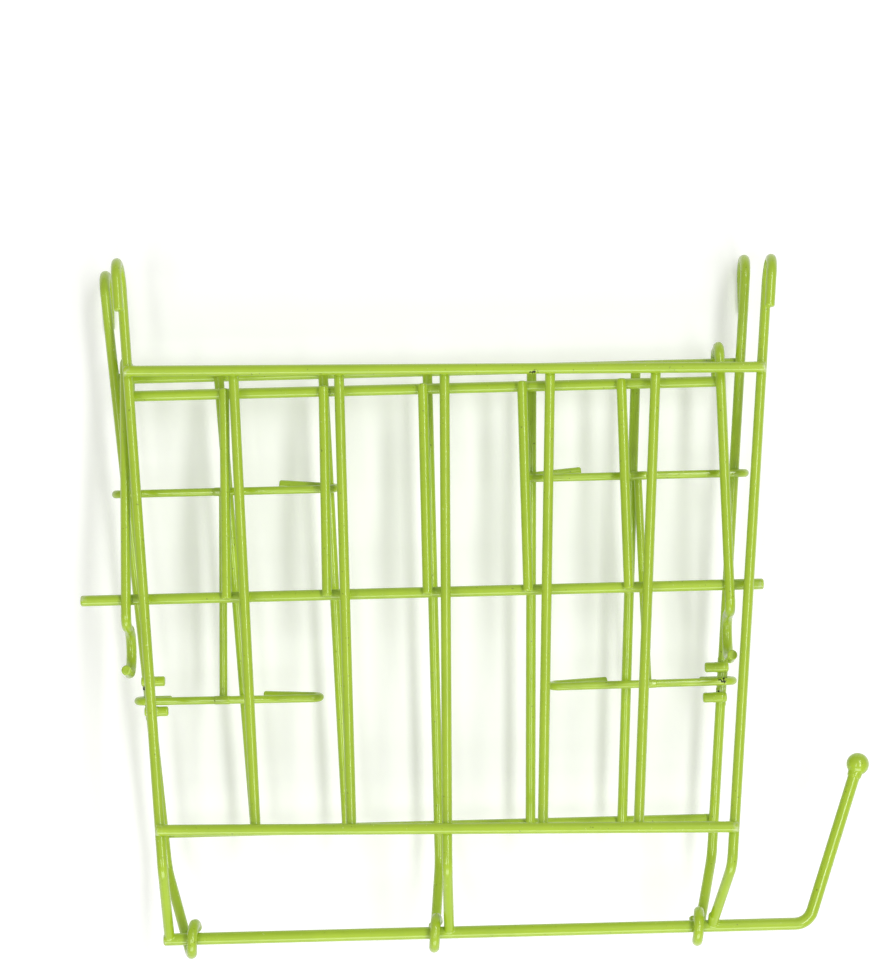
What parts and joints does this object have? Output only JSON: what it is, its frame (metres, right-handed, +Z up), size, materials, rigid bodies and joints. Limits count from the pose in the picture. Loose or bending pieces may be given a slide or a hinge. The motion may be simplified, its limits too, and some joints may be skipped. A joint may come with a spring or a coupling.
{
  "type": "hay rack",
  "caption": "Folding wire hay rack with a hinged front panel, swinging side panels, a hinged lid, cage hooks and an arm that ends in a ball.",
  "frame": {"origin": "midway between the seats of the two back hooks, where the rack hangs on a cage wire", "axes": "+X to the right as the front is seen, +Y towards the cage wall, +Z up"},
  "size_m": [0.1951, 0.0483, 0.174],
  "materials": {
    "green_coating": "glossy dip-coated steel wire"
  },
  "bodies": {
    "back_panel": {"back_top_bar": "green_coating", "back_bottom_bar": "green_coating", "back_left_hook_wire": "green_coating", "back_right_hook_wire": "green_coating", "back_centre_wire": "green_coating", "back_wire_1": "green_coating", "back_wire_2": "green_coating", "back_wire_3": "green_coating", "back_wire_4": "green_coating", "left_upper_stop": "green_coating", "left_lower_stop": "green_coating", "right_upper_stop": "green_coating", "right_lower_stop": "green_coating"},
    "front_panel": {"front_top_bar": "green_coating", "front_bottom_bar": "green_coating", "front_left_hook_wire": "green_coating", "front_right_hook_wire": "green_coating", "front_centre_wire": "green_coating", "front_wire_1": "green_coating", "front_wire_2": "green_coating", "front_wire_3": "green_coating", "front_wire_4": "green_coating", "hinge_rod": "green_coating", "end_ball": "green_coating"},
    "lid": {"lid_hinge_bar": "green_coating", "lid_free_bar": "green_coating", "lid_left_wire": "green_coating", "lid_right_wire": "green_coating", "lid_wire_1": "green_coating", "lid_wire_2": "green_coating", "lid_wire_3": "green_coating", "lid_wire_4": "green_coating", "lid_wire_5": "green_coating"},
    "left_side": {"left_side_upper_wire": "green_coating", "left_side_lower_wire": "green_coating", "left_side_cross_wire": "green_coating"},
    "right_side": {"right_side_upper_wire": "green_coating", "right_side_lower_wire": "green_coating", "right_side_cross_wire": "green_coating"}
  },
  "joints": [
    {"name": "front_fold", "type": "hinge", "parent": "back_panel", "child": "front_panel", "pos_m": [0, -0.024, -0.16475], "axis": [1, 0, 0], "range_deg": [0, 56]},
    {"name": "lid_swing", "type": "hinge", "parent": "back_panel", "child": "lid", "pos_m": [0, -0.0036, -0.02525], "axis": [-1, 0, 0], "range_deg": [0, 104]},
    {"name": "left_side_swing", "type": "hinge", "parent": "back_panel", "child": "left_side", "pos_m": [-0.07426, -0.006, -0.08475], "axis": [0.0828, 0, -0.9966], "range_deg": [0, 87]},
    {"name": "right_side_swing", "type": "hinge", "parent": "back_panel", "child": "right_side", "pos_m": [0.07426, -0.006, -0.08475], "axis": [0.0828, 0, 0.9966], "range_deg": [0, 87]}
  ],
  "couplings": [
    {"joint": "lid_swing", "follows": "front_fold", "ratio": 1.85},
    {"joint": "left_side_swing", "follows": "front_fold", "ratio": 1.55},
    {"joint": "right_side_swing", "follows": "front_fold", "ratio": 1.55}
  ]
}
